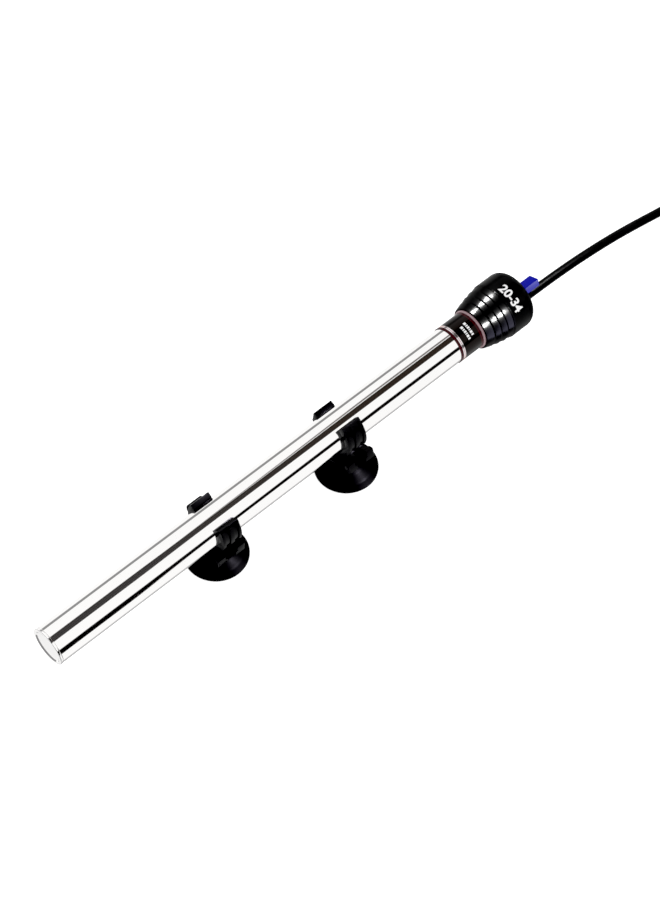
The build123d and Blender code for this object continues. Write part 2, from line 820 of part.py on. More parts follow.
# ---------------------------------------------------------------- mains plug
plug_width = 35.3
plug_thickness = 13.7
plug_corner = 5.5
plug_straight = 13.0
plug_neck = 337.0
neck_width = 16.0
neck_thickness = 11.0
neck_corner = 4.5
relief_radius = 4.4
relief_grooves = 3
relief_pitch = 3.6
relief_groove_width = 1.2
relief_groove_depth = 0.9
pin_stem_radius = 1.5
pin_stem_depth = 8.0


def plug_plane(x):
    """Plane square to the plug's axis at x: local x points to the back, local y up."""
    return Plane(origin=(x, plug_y, plug_height), x_dir=(0, 1, 0), z_dir=(1, 0, 0))


with BuildPart() as plug_body:
    with BuildSketch(plug_plane(plug_face)):
        RectangleRounded(plug_width, plug_thickness, plug_corner)
    extrude(amount=plug_straight)
    with BuildSketch(plug_plane(plug_face + plug_straight)):
        RectangleRounded(plug_width, plug_thickness, plug_corner)
    with BuildSketch(plug_plane(plug_neck)):
        RectangleRounded(neck_width, neck_thickness, neck_corner)
    loft()
    fillet(plug_body.faces().sort_by(Axis.X)[0].outer_wire().edges(), 1.0)
    with BuildSketch(plug_plane(plug_neck)):
        Circle(relief_radius)
    extrude(amount=plug_back - plug_neck, taper=3)
    for groove in range(relief_grooves):
        with BuildSketch(plug_plane(plug_neck + 3.0 + relief_pitch * groove)):
            Circle(relief_radius + 1)
            Circle(relief_radius - relief_groove_depth, mode=Mode.SUBTRACT)
        extrude(amount=relief_groove_width, mode=Mode.SUBTRACT)
    with BuildSketch(plug_plane(jacket_end - 0.1)):
        Circle(cord_radius + fit_gap)
    extrude(amount=plug_back - jacket_end + 0.2, mode=Mode.SUBTRACT)
    with BuildSketch(plug_plane(plug_face)):
        with Locations((-plug_pin_spacing / 2, 0), (plug_pin_spacing / 2, 0)):
            Circle(pin_stem_radius + 0.02)
    extrude(amount=pin_stem_depth + 0.1, mode=Mode.SUBTRACT)
plug_body.part.label = "plug_body"
export_step(plug_body.part, "parts/plug_body.step")

pin_sleeve_length = 10.0
with BuildPart() as plug_pins:
    with BuildSketch(plug_plane(plug_face - plug_pin_length)):
        with Locations((-plug_pin_spacing / 2, 0), (plug_pin_spacing / 2, 0)):
            Circle(plug_pin_radius)
    extrude(amount=plug_pin_length - pin_sleeve_length)
    fillet(plug_pins.edges().group_by(Axis.X)[0], 1.2)
    with BuildSketch(plug_plane(plug_face - pin_sleeve_length)):
        with Locations((-plug_pin_spacing / 2, 0), (plug_pin_spacing / 2, 0)):
            Circle(pin_stem_radius)
    extrude(amount=pin_sleeve_length + pin_stem_depth)
plug_pins.part.label = "plug_pins"
export_step(plug_pins.part, "parts/plug_pins.step")

with BuildPart() as pin_sleeves:
    with BuildSketch(plug_plane(plug_face - pin_sleeve_length + 0.02)):
        for side in (-1, 1):
            ring_sketch(plug_pin_radius, pin_stem_radius + 0.02, side * plug_pin_spacing / 2)
    extrude(amount=pin_sleeve_length - 0.04)
pin_sleeves.part.label = "pin_sleeves"
export_step(pin_sleeves.part, "parts/pin_sleeves.step")


# ---------------------------------------------------------------- clips and suction cups
def sector(from_angle, to_angle, reach=40.0):
    """Wedge with its point on the sheath axis, for cutting or keeping part of a ring."""
    middle = (from_angle + to_angle) / 2
    corners = [(0, 0)]
    for angle in (from_angle, middle, to_angle):
        corners.append((reach * math.cos(math.radians(angle)), reach * math.sin(math.radians(angle))))
    return corners


def tube_clip(x_mid, turn):
    """Push-on clip: open ribbed ring, thumb tab on the back arm and a slotted foot plate with two lugs."""
    c, s = math.cos(math.radians(turn)), math.sin(math.radians(turn))
    start = x_mid - clip_width / 2
    plate_top = foot_depth - foot_thickness / 2
    with BuildPart() as clip:
        with BuildSketch(across(start, turn)):
            Circle(clip_outer)
            Circle(clip_bore, mode=Mode.SUBTRACT)
            Polygon(*sector(clip_opening, 180 - clip_opening), align=None, mode=Mode.SUBTRACT)
            # thinner wall under the sheath and on the back arm
            for wall, thin_sector in ((floor_wall, floor_sector), (back_wall, back_sector)):
                with BuildSketch(mode=Mode.PRIVATE) as trimming:
                    Circle(clip_outer + 1)
                    Circle(clip_bore + wall, mode=Mode.SUBTRACT)
                    Polygon(*sector(*thin_sector), align=None, mode=Mode.INTERSECT)
                add(trimming.sketch, mode=Mode.SUBTRACT)
            # lips at the arm tips
            back_lip = clip_opening - lip_turn
            for angle, wall in ((back_lip, back_wall), (180 - back_lip, clip_wall)):
                lip = math.radians(angle)
                lip_middle = clip_bore + wall / 2 + lip_rise
                with Locations((lip_middle * math.cos(lip), lip_middle * math.sin(lip))):
                    RectangleRounded(wall, lip_width, lip_corner, rotation=angle)
        extrude(amount=clip_width)
        # two grooves round each arm leave a rib along the middle and one at each edge
        for groove_start in (start + edge_rib, start + clip_width - edge_rib - groove_width):
            for from_angle, to_angle, wall in groove_sectors:
                with BuildSketch(across(groove_start, turn)):
                    Circle(clip_outer + 1)
                    Circle(clip_bore + wall - groove_depth, mode=Mode.SUBTRACT)
                    Polygon(*sector(from_angle, to_angle), align=None, mode=Mode.INTERSECT)
                extrude(amount=groove_width, mode=Mode.SUBTRACT)
        # side webs and a back web carry the foot plate and leave room for the cup's head
        web_height = plate_top - web_start_depth
        web_middle = -(plate_top + web_start_depth) / 2
        for web_x in (start, start + clip_width - web_thickness):
            with BuildSketch(across(web_x, turn)):
                with Locations(((web_back + web_front) / 2, web_middle)):
                    Rectangle(web_back - web_front, web_height)
                Circle(clip_bore, mode=Mode.SUBTRACT)
            extrude(amount=web_thickness)
        with BuildSketch(across(start, turn)):
            with Locations((web_back - web_thickness / 2, web_middle)):
                Rectangle(web_thickness, web_height)
            Circle(clip_bore, mode=Mode.SUBTRACT)
        extrude(amount=clip_width)
        # foot plate, with local x along the sheath and local y to the front
        plate_plane = Plane(
            origin=(x_mid, plate_top * s, axis_height - plate_top * c),
            x_dir=(1, 0, 0),
            z_dir=(0, s, -c),
        )
        with BuildSketch(plate_plane):
            with Locations((0, (foot_front - foot_size / 2) / 2)):
                RectangleRounded(foot_size, foot_front + foot_size / 2, 1.2)
            Circle(slot_radius, mode=Mode.SUBTRACT)
            with Locations((0, foot_front / 2)):
                Rectangle(slot_mouth, foot_front, mode=Mode.SUBTRACT)
        extrude(amount=foot_thickness)
        with BuildSketch(plate_plane):
            for side in (-1, 1):
                with Locations((side * (foot_size - lug_width) / 2, foot_front - lug_depth / 2)):
                    RectangleRounded(lug_width, lug_depth, 0.8)
        extrude(amount=-lug_height)
        # thumb tab
        tab_plane = Plane(origin=(x_mid, 0, axis_height), x_dir=(1, 0, 0), z_dir=(0, -s, c))
        with BuildSketch(tab_plane.offset(-tab_thickness / 2)):
            with Locations((0, clip_bore + back_wall + tab_reach / 2 - 0.5)):
                RectangleRounded(tab_width, tab_reach + 1, 1.5)
        extrude(amount=tab_thickness)
    return clip


cup_hollow = 4.6
cup_edge = 1.1
cup_lip = 1.6
cup_height = 17.0
neck_low = 9.6
neck_high = 15.3
dome_middle = (9.0, 5.75)   # a point half-way down the cup's outer face


def suction_cup(x_mid, y_mid):
    """Rubber cup with a hollow underside, a neck for the clip's slot and a button head."""
    with BuildPart() as cup:
        with BuildSketch(Plane(origin=(x_mid, y_mid, 0), x_dir=(1, 0, 0), z_dir=(0, -1, 0))):
            with BuildLine():
                Polyline(
                    (0, cup_hollow),
                    (0, cup_height),
                    (neck_radius, cup_height - 0.1),
                    (head_radius, neck_high + 0.85),
                    (head_radius, neck_high + 0.55),
                    (neck_radius, neck_high),
                    (neck_radius, neck_low),
                )
                ThreePointArc((neck_radius, neck_low), dome_middle, (cup_radius, cup_edge))
                Polyline((cup_radius, cup_edge), (cup_radius, 0), (cup_radius - cup_lip, 0))
                TangentArc((0, cup_hollow), (cup_radius - cup_lip, 0), tangent=(1, 0))
            make_face()
        revolve(axis=Axis((x_mid, y_mid, 0), (0, 0, 1)))
    return cup


upper_cup_y = foot_depth * math.sin(math.radians(upper_turn))

lower_clip = tube_clip(0, 0)
lower_clip.part.label = "lower_clip"
export_step(lower_clip.part, "parts/lower_clip.step")

upper_clip = tube_clip(cup_spacing, upper_turn)
upper_clip.part.label = "upper_clip"
export_step(upper_clip.part, "parts/upper_clip.step")

lower_suction_cup = suction_cup(0, 0)
lower_suction_cup.part.label = "lower_suction_cup"
export_step(lower_suction_cup.part, "parts/lower_suction_cup.step")

upper_suction_cup = suction_cup(cup_spacing, upper_cup_y)
upper_suction_cup.part.label = "upper_suction_cup"
export_step(upper_suction_cup.part, "parts/upper_suction_cup.step")
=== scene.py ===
import json
import math

import bmesh
import bpy
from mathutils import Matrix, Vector

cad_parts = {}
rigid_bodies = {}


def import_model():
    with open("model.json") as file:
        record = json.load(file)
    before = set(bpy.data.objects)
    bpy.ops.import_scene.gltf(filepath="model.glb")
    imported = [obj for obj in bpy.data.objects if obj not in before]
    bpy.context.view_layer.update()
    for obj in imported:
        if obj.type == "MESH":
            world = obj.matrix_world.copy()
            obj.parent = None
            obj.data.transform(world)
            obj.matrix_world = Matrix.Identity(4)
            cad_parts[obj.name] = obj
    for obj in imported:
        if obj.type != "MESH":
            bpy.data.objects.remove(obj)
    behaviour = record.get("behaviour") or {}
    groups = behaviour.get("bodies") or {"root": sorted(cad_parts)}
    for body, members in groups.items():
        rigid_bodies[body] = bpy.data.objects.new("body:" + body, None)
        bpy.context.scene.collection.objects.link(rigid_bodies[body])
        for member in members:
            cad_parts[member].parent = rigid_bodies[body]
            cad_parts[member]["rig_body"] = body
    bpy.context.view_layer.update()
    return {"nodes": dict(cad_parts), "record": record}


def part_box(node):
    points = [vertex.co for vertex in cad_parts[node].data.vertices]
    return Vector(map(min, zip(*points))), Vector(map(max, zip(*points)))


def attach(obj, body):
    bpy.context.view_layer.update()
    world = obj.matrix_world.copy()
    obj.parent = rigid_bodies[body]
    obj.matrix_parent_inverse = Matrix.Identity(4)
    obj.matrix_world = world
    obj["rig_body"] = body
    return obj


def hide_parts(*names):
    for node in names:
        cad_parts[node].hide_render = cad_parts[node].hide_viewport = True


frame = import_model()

# ---------------------------------------------------------------- sizes and places, in metres
MM = 0.001
X = Vector((1, 0, 0))
Z = Vector((0, 0, 1))

TUBE_LOW, TUBE_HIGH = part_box("sheath_tube")
END_LOW, END_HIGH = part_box("sheath_end_cap")
LABEL_LOW, LABEL_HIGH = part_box("label_sleeve")
GASKET_LOW, GASKET_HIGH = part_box("cap_gasket")
CAP_LOW, CAP_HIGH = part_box("head_cap")
KNOB_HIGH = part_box("temperature_knob")[1]
SHAFT_LOW, SHAFT_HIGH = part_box("dial_shaft")

TUBE_RADIUS = (TUBE_HIGH.y - TUBE_LOW.y) / 2
TUBE_WALL = 0.6 * MM
AXIS_HEIGHT = (TUBE_HIGH.z + TUBE_LOW.z) / 2
LABEL_RADIUS = (LABEL_HIGH.y - LABEL_LOW.y) / 2
GASKET_RADIUS = (GASKET_HIGH.y - GASKET_LOW.y) / 2
BAND_RADIUS = (CAP_HIGH.y - CAP_LOW.y) / 2
KNOB_CENTRE = Vector((0, (SHAFT_HIGH.y + SHAFT_LOW.y) / 2, (SHAFT_HIGH.z + SHAFT_LOW.z) / 2))
CORD_CENTRE = Vector((0, -2.1 * MM, AXIS_HEIGHT - 5.2 * MM))
CORD_RADIUS = 2.6 * MM
ON_AXIS = Vector((0, 0, AXIS_HEIGHT))

# the head: its ribs, with the radii at the start and the end of each, its end face and its cavity
RIM_LENGTH = 4.7 * MM
RIB_PITCH = 4.2 * MM
RIB_RADII = ((13.1 * MM, 14.6 * MM), (14.2 * MM, 15.7 * MM), (15.0 * MM, 16.5 * MM), (15.8 * MM, 17.0 * MM))
RIB_GROOVE_DEPTH = 0.6 * MM
RIB_GROOVE_WIDTH = 0.9 * MM
SHOULDER_LENGTH = 6.0 * MM
FACE_RADIUS = 12.6 * MM
CAVITY_RADIUS = 12.3 * MM
CAVITY_END = CAP_HIGH.x - 4.6 * MM
RECESS_DEPTH = 1.8 * MM
RECESS_RADIUS = 5.9 * MM
SHAFT_HOLE_RADIUS = 1.6 * MM
FIT = 0.05 * MM

# the print on the head faces the camera: its angle about the sheath, from the back over the top
FACING_ANGLE = 117.0

CAMERA_AZIMUTH = -42.61
CAMERA_ELEVATION = 55.21
CAMERA_DISTANCE = 1.338
CAMERA_AIM = Vector((0.0902, 0.0085, 0.0))
CAMERA_LENS = 97.28
BLACK_LEVEL = 0.005

node_slot = {row["node"]: row["material_slot"] for row in frame["record"]["subparts"]}


# ---------------------------------------------------------------- mesh helpers
def link(name, mesh):
    """New object holding the mesh, in the scene."""
    piece = bpy.data.objects.new(name, mesh)
    bpy.context.scene.collection.objects.link(piece)
    return piece


def smooth(mesh, angle=32):
    """Smooth shading with sharp edges above the angle, in degrees."""
    mesh.shade_smooth()
    mesh.set_sharp_from_angle(angle=math.radians(angle))


def rounded(points, steps=6):
    """Outline with rounded corners. A point is (along, radius) or (along, radius, corner radius)."""
    outline = []
    for index, point in enumerate(points):
        here = Vector(point[:2])
        corner = point[2] if len(point) > 2 else 0
        if corner == 0 or index in (0, len(points) - 1):
            outline.append(here)
            continue
        back = Vector(points[index - 1][:2]) - here
        ahead = Vector(points[index + 1][:2]) - here
        reach = corner / math.tan(back.angle(ahead) / 2)
        reach = min(reach, 0.49 * back.length, 0.49 * ahead.length)
        start = here + back.normalized() * reach
        end = here + ahead.normalized() * reach
        for step in range(steps + 1):
            t = step / steps
            outline.append((1 - t) ** 2 * start + 2 * t * (1 - t) * here + t * t * end)
    return outline


def lathe(name, outline, origin=ON_AXIS, along=X, segments=192, closed=False, angle=32):
    """Turned piece. The outline's points are (distance along the axis, radius)."""
    up = Z if abs(along.z) < 0.5 else X
    side = along.cross(up).normalized()
    shape = bmesh.new()
    rings = []
    for distance, radius in outline:
        centre = origin + along * distance
        if radius < 0.001 * MM:
            rings.append([shape.verts.new(centre)])
            continue
        turns = [2 * math.pi * k / segments for k in range(segments)]
        rings.append([
            shape.verts.new(centre + (side * math.cos(turn) + up * math.sin(turn)) * radius)
            for turn in turns
        ])
    pairs = list(zip(rings, rings[1:]))
    if closed:
        pairs.append((rings[-1], rings[0]))
    for low, high in pairs:
        for k in range(segments):
            following = (k + 1) % segments
            if len(low) == 1:
                shape.faces.new((low[0], high[k], high[following]))
            elif len(high) == 1:
                shape.faces.new((low[k], high[0], low[following]))
            else:
                shape.faces.new((low[k], high[k], high[following], low[following]))
    bmesh.ops.recalc_face_normals(shape, faces=shape.faces)
    mesh = bpy.data.meshes.new(name)
    shape.to_mesh(mesh)
    shape.free()
    smooth(mesh, angle)
    return link(name, mesh)


def applied(piece):
    """Applies every modifier of a piece to its mesh."""
    evaluated = piece.evaluated_get(bpy.context.evaluated_depsgraph_get())
    mesh = bpy.data.meshes.new_from_object(evaluated)
    piece.modifiers.clear()
    piece.data = mesh
    return piece


def cut_away(piece, tools):
    """Cuts the tool pieces out of a piece and removes them."""
    for tool in tools:
        modifier = piece.modifiers.new("cut", "BOOLEAN")
        modifier.operation = "DIFFERENCE"
        modifier.solver = "EXACT"
        modifier.object = tool
    applied(piece)
    for tool in tools:
        bpy.data.objects.remove(tool)
    smooth(piece.data)
    return piece


def softened(name, node, width, segments=3, angle=28):
    """Copy of a CAD node with its sharp edges rounded off."""
    shape = bmesh.new()
    shape.from_mesh(frame["nodes"][node].data)
    bmesh.ops.remove_doubles(shape, verts=shape.verts, dist=0.002 * MM)
    bmesh.ops.dissolve_limit(shape, angle_limit=math.radians(0.6), verts=shape.verts, edges=shape.edges)
    mesh = bpy.data.meshes.new(name)
    shape.to_mesh(mesh)
    shape.free()
    piece = link(name, mesh)
    bevel = piece.modifiers.new("round", "BEVEL")
    bevel.width = width
    bevel.segments = segments
    bevel.limit_method = "ANGLE"
    bevel.angle_limit = math.radians(angle)
    bevel.use_clamp_overlap = True
    applied(piece)
    smooth(piece.data, 40)
    return piece


def wrapped(name, flat, radius, x_mid, angle_mid, height):
    """Flat print (reading direction, letter height) bent round the sheath axis, standing up by height."""
    shape = bmesh.new()
    shape.from_mesh(flat)
    wide = max(abs(vertex.co.x) for vertex in shape.verts)
    step = 0.4 * MM
    for k in range(-int(wide / step), int(wide / step) + 1):
        everything = shape.verts[:] + shape.edges[:] + shape.faces[:]
        bmesh.ops.bisect_plane(shape, geom=everything, plane_co=(k * step, 0, 0), plane_no=(1, 0, 0))
    raised = bmesh.ops.extrude_face_region(shape, geom=shape.faces[:])
    tops = {item for item in raised["geom"] if isinstance(item, bmesh.types.BMVert)}
    for vertex in shape.verts:
        turn = math.radians(angle_mid) + vertex.co.x / radius
        out = radius + (height if vertex in tops else -0.01 * MM)
        vertex.co = ON_AXIS + Vector((x_mid + vertex.co.y, out * math.cos(turn), out * math.sin(turn)))
    bmesh.ops.recalc_face_normals(shape, faces=shape.faces)
    mesh = bpy.data.meshes.new(name)
    shape.to_mesh(mesh)
    shape.free()
    return link(name, mesh)


def flat_text(words, size, bold):
    """Mesh of a line of text centred on the origin."""
    curve = bpy.data.curves.new("words", "FONT")
    curve.body = words
    curve.size = size
    curve.offset = bold * size
    curve.align_x = "CENTER"
    curve.align_y = "CENTER"
    curve.resolution_u = 6
    holder = link("words", curve)
    evaluated = holder.evaluated_get(bpy.context.evaluated_depsgraph_get())
    mesh = bpy.data.meshes.new_from_object(evaluated)
    bpy.data.objects.remove(holder)
    return mesh


def flat_bars(bars):
    """Mesh of upright rectangles: (middle along, middle up, length, height)."""
    shape = bmesh.new()
    for middle, up, length, height in bars:
        corners = ((-1, -1), (1, -1), (1, 1), (-1, 1))
        shape.faces.new([
            shape.verts.new((middle + a * length / 2, up + b * height / 2, 0)) for a, b in corners
        ])
    mesh = bpy.data.meshes.new("bars")
    shape.to_mesh(mesh)
    shape.free()
    return mesh


# ---------------------------------------------------------------- node helpers
class Graph:
    """Short way to write a node tree."""

    def __init__(self, tree):
        self.tree = tree
        tree.nodes.clear()

    def add(self, kind, **settings):
        node = self.tree.nodes.new(kind)
        for key, value in settings.items():
            setattr(node, key, value)
        return node

    def feed(self, value, target):
        """Links a socket to the target, or sets the target to a plain value."""
        if isinstance(value, bpy.types.NodeSocket):
            self.tree.links.new(value, target)
        elif isinstance(value, (tuple, list)) and len(value) == 3 and target.type == "RGBA":
            target.default_value = (*value, 1)
        else:
            target.default_value = value

    def math(self, operation, a, b=0.0):
        node = self.add("ShaderNodeMath", operation=operation)
        self.feed(a, node.inputs[0])
        self.feed(b, node.inputs[1])
        return node.outputs[0]

    def ramp(self, value, from_low, from_high, to_low=0.0, to_high=1.0, smooth_step=False):
        """Maps a value from one range to another, held at the ends."""
        node = self.add("ShaderNodeMapRange")
        if smooth_step:
            node.interpolation_type = "SMOOTHSTEP"
        self.feed(value, node.inputs["Value"])
        self.feed(from_low, node.inputs["From Min"])
        self.feed(from_high, node.inputs["From Max"])
        self.feed(to_low, node.inputs["To Min"])
        self.feed(to_high, node.inputs["To Max"])
        return node.outputs[0]

    def band(self, value, low, high, blur):
        """1 where the value is between low and high, fading over the blur at both sides."""
        steps = []
        for edge in (low, high):
            before = self.math("SUBTRACT", edge, blur)
            after = self.math("ADD", edge, blur)
            steps.append(self.ramp(value, before, after, smooth_step=True))
        return self.math("SUBTRACT", steps[0], steps[1])

    def mix(self, share, a, b):
        """Mix of two colours."""
        node = self.add("ShaderNodeMix", data_type="RGBA")
        self.feed(share, node.inputs["Factor"])
        self.feed(a, node.inputs["A"])
        self.feed(b, node.inputs["B"])
        return node.outputs["Result"]

    def parts(self, vector):
        """The three coordinates of a vector."""
        split = self.add("ShaderNodeSeparateXYZ")
        self.feed(vector, split.inputs[0])
        return split.outputs


class Finish(Graph):
    """A material with one principled shader, placed by object coordinates."""

    def __init__(self, name):
        self.material = bpy.data.materials.new(name)
        self.material.use_nodes = True
        super().__init__(self.material.node_tree)
        self.shader = self.add("ShaderNodeBsdfPrincipled")
        output = self.add("ShaderNodeOutputMaterial")
        self.feed(self.shader.outputs[0], output.inputs["Surface"])
        self.place = self.add("ShaderNodeTexCoord").outputs["Object"]

    def set(self, **inputs):
        for key, value in inputs.items():
            self.feed(value, self.shader.inputs[key.replace("_", " ")])

    def noise(self, scale, detail=3, stretch=(1, 1, 1)):
        """Fractal noise, mostly between 0.3 and 0.7."""
        mapping = self.add("ShaderNodeMapping")
        mapping.inputs["Scale"].default_value = stretch
        self.feed(self.place, mapping.inputs["Vector"])
        node = self.add("ShaderNodeTexNoise")
        node.inputs["Scale"].default_value = scale
        node.inputs["Detail"].default_value = detail
        self.feed(mapping.outputs[0], node.inputs["Vector"])
        return node.outputs["Fac"]

    def spread(self, noise, low, high):
        """Stretches a noise to the range from low to high."""
        return self.ramp(noise, 0.3, 0.7, low, high)

    def bump(self, height, strength, distance):
        node = self.add("ShaderNodeBump")
        node.inputs["Strength"].default_value = strength
        node.inputs["Distance"].default_value = distance
        self.feed(height, node.inputs["Height"])
        self.feed(node.outputs[0], self.shader.inputs["Normal"])

    def round_angle(self):
        """Angle about the sheath axis, in degrees from the back over the top."""
        _, y, z = self.parts(self.place)
        lifted = self.math("SUBTRACT", z, AXIS_HEIGHT)
        return self.math("MULTIPLY", self.math("ARCTAN2", lifted, y), 180 / math.pi)


def moulded(name, colour, rough, specular=0.3, grain=2600.0, depth=0.02 * MM, worn=None):
    """Moulded plastic or rubber: fine grain, uneven gloss and slightly paler worn patches."""
    m = Finish(name)
    worn = worn or tuple(min(1.0, c * 1.6 + 0.001) for c in colour)
    m.set(
        Base_Color=m.mix(m.spread(m.noise(60.0), 0.0, 0.6), colour, worn),
        Roughness=m.spread(m.noise(180.0, 5), rough - 0.05, rough + 0.06),
        Specular_IOR_Level=specular,
    )
    m.bump(m.noise(grain, 4), 0.35, depth)
    return m.material


def bare_metal(name, colour, rough, stretch=(1, 1, 1), depth=0.004 * MM):
    """Metal with drawing or polishing lines along the directions where the stretch is below 1."""
    m = Finish(name)
    lines = m.noise(900.0, 5, stretch)
    dull = tuple(c * 0.88 for c in colour)
    m.set(
        Base_Color=m.mix(m.spread(m.noise(45.0), 0.0, 0.6), colour, dull),
        Metallic=1.0,
        Roughness=m.spread(lines, rough * 0.75, rough * 1.3),
    )
    m.bump(lines, 0.25, depth)
    return m.material


# ---------------------------------------------------------------- materials, one for each slot
def chrome(name):
    """Mirror-polished steel: faint lengthwise drawing lines, a slow waviness and a slight change of tint."""
    m = Finish(name)
    lines = m.noise(420.0, 4, (0.02, 1, 1))
    waves = m.noise(30.0, 2, (0.25, 1, 1))
    m.set(
        Base_Color=m.mix(m.spread(m.noise(12.0), 0.0, 1.0), (0.985, 0.975, 0.965), (0.955, 0.945, 0.935)),
        Metallic=1.0,
        Roughness=m.spread(lines, 0.035, 0.075),
    )
    m.bump(m.math("ADD", waves, m.math("MULTIPLY", lines, 0.06)), 0.30, 0.02 * MM)
    return m.material


def printed_label(name):
    """Glossy black foil sleeve: a dark red line at each end, and a silver ring by the lower one."""
    m = Finish(name)
    x = m.parts(m.place)[0]
    start = LABEL_LOW.x
    red_low = m.band(x, start - 1 * MM, start + 1.6 * MM, 0.05 * MM)
    silver = m.band(x, start + 1.5 * MM, start + 3.1 * MM, 0.05 * MM)
    pink = m.band(x, start + 2.15 * MM, start + 2.5 * MM, 0.05 * MM)
    red_high = m.band(x, LABEL_HIGH.x - 1.5 * MM, LABEL_HIGH.x + 1 * MM, 0.05 * MM)
    red = m.math("MAXIMUM", red_low, red_high)
    colour = m.mix(red, (0.002, 0.0015, 0.0015), (0.038, 0.003, 0.006))
    colour = m.mix(silver, colour, (0.82, 0.78, 0.78))
    colour = m.mix(pink, colour, (0.42, 0.22, 0.26))
    m.set(
        Base_Color=colour,
        Metallic=m.math("MULTIPLY", silver, 0.9),
        Roughness=m.spread(m.noise(300.0, 4), 0.10, 0.16),
        Specular_IOR_Level=m.spread(m.noise(70.0, 3, (0.15, 1, 1)), 0.04, 0.30),
        Specular_Tint=(1.0, 0.80, 0.72, 1.0),
    )
    m.bump(m.noise(55.0, 2), 0.3, 0.03 * MM)
    return m.material


def head_rubber(name):
    """Black moulded cap: satin, with a mould grain and faint patches of dust."""
    m = Finish(name)
    dust = m.spread(m.noise(90.0), 0.0, 0.5)
    m.set(
        Base_Color=m.mix(dust, (0.0006, 0.0006, 0.0007), (0.0018, 0.0016, 0.0018)),
        Roughness=m.spread(m.noise(160.0, 5), 0.17, 0.24),
        Specular_IOR_Level=0.04,
    )
    m.bump(m.noise(1400.0, 4), 0.3, 0.03 * MM)
    return m.material


def knob_plastic(name):
    """Deep blue moulded plastic, slightly uneven in colour, with fine drag lines in its gloss."""
    m = Finish(name)
    m.set(
        Base_Color=m.mix(m.spread(m.noise(120.0), 0.0, 0.7), (0.0010, 0.0025, 0.33), (0.002, 0.004, 0.39)),
        Roughness=m.spread(m.noise(500.0, 4, (0.1, 1, 1)), 0.30, 0.42),
        Specular_IOR_Level=0.06,
    )
    m.bump(m.noise(2200.0, 3), 0.3, 0.015 * MM)
    return m.material


def cord_jacket(name):
    """Black flexible jacket, glossy, with fine extrusion lines."""
    m = Finish(name)
    wear = m.spread(m.noise(70.0), 0.0, 0.6)
    m.set(
        Base_Color=m.mix(wear, (0.0008, 0.0008, 0.001), (0.0022, 0.0022, 0.0026)),
        Roughness=m.spread(m.noise(260.0, 5), 0.22, 0.34),
        Specular_IOR_Level=0.04,
    )
    m.bump(m.noise(1900.0, 3), 0.25, 0.02 * MM)
    return m.material


def bimetal_sheet(name):
    """Rolled two-layer strip: brass-coloured above, steel below."""
    m = Finish(name)
    low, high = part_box("bimetal_strip")
    z = m.parts(m.place)[2]
    layer = m.ramp(z, (low.z + high.z) / 2 - 0.02 * MM, (low.z + high.z) / 2 + 0.02 * MM)
    lines = m.noise(700.0, 4, (0.05, 1, 1))
    m.set(
        Base_Color=m.mix(layer, (0.56, 0.55, 0.53), (0.72, 0.52, 0.26)),
        Metallic=1.0,
        Roughness=m.spread(lines, 0.24, 0.4),
    )
    m.bump(lines, 0.3, 0.004 * MM)
    return m.material


def glass_cloth(name):
    """Woven glass sleeve, off-white, with a visible plain weave."""
    m = Finish(name)
    x = m.parts(m.place)[0]
    weft = m.math("SINE", m.math("MULTIPLY", x, 2 * math.pi / (1.2 * MM)))
    warp = m.math("SINE", m.math("MULTIPLY", m.round_angle(), 2 * math.pi / 7.0))
    weave = m.math("MULTIPLY", weft, warp)
    m.set(
        Base_Color=m.mix(m.ramp(weave, -1, 1), (0.62, 0.58, 0.48), (0.85, 0.83, 0.76)),
        Roughness=0.8,
    )
    m.bump(weave, 0.5, 0.08 * MM)
    return m.material


def ceramic(name):
    """Unglazed steatite: off-white, dry, with fine pores and a few darker specks."""
    m = Finish(name)
    specks = m.ramp(m.noise(700.0, 2), 0.66, 0.72)
    m.set(
        Base_Color=m.mix(specks, (0.78, 0.74, 0.66), (0.45, 0.38, 0.30)),
        Roughness=m.spread(m.noise(200.0, 4), 0.6, 0.8),
    )
    m.bump(m.noise(1500.0, 5), 0.5, 0.04 * MM)
    return m.material


